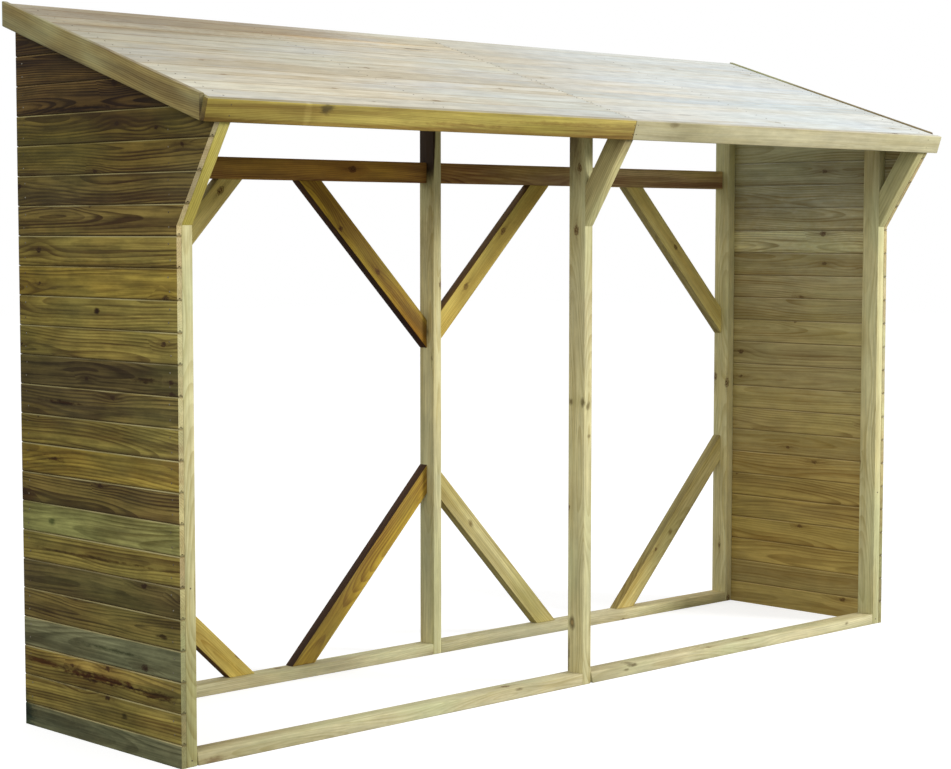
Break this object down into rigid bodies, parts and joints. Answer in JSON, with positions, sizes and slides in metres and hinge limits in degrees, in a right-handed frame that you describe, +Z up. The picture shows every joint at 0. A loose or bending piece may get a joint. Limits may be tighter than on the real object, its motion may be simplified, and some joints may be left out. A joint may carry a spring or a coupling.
{
  "type": "log store",
  "caption": "Open-fronted timber log store with boarded side walls, a diagonally braced open back and a sloping boarded roof that overhangs the front on struts.",
  "frame": {"origin": "on the ground, in the middle of the roof's plan", "axes": "+X along the open front to the right as seen from the front, +Y from the open front to the back, +Z up"},
  "size_m": [3.596, 1.0596, 2.3031],
  "materials": {
    "post_timber": "rough sawn, green-tinted pressure treatment",
    "frame_timber": "rough sawn, green-tinted pressure treatment",
    "brace_timber": "rough sawn, golden where lit, dark on its edges",
    "wall_boards": "matched boards, olive brown with knots",
    "roof_boards": "matched boards, weathered pale",
    "trim_boards": "sawn, olive yellow with a darker top arris"
  },
  "bodies": {
    "root": {"left_front_post": "post_timber", "middle_front_post": "post_timber", "right_front_post": "post_timber", "left_rear_post": "post_timber", "middle_rear_post": "post_timber", "right_rear_post": "post_timber", "left_strut": "post_timber", "middle_strut": "post_timber", "right_strut": "post_timber", "left_front_sill": "frame_timber", "right_front_sill": "frame_timber", "left_rear_sill": "frame_timber", "right_rear_sill": "frame_timber", "left_rear_rail": "frame_timber", "right_rear_rail": "frame_timber", "left_rafter": "frame_timber", "left_bay_rafter": "frame_timber", "middle_rafter": "frame_timber", "right_bay_rafter": "frame_timber", "right_rafter": "frame_timber", "eaves_batten": "frame_timber", "rear_batten": "frame_timber", "left_verge_batten": "frame_timber", "right_verge_batten": "frame_timber", "upper_brace_1": "brace_timber", "upper_brace_2": "brace_timber", "upper_brace_3": "brace_timber", "upper_brace_4": "brace_timber", "lower_brace_1": "brace_timber", "lower_brace_2": "brace_timber", "lower_brace_3": "brace_timber", "lower_brace_4": "brace_timber", "left_wall": "wall_boards", "right_wall": "wall_boards", "left_roof_boards": "roof_boards", "right_roof_boards": "roof_boards", "left_fascia": "trim_boards", "right_fascia": "trim_boards", "left_barge_board": "trim_boards", "right_barge_board": "trim_boards"}
  },
  "joints": []
}
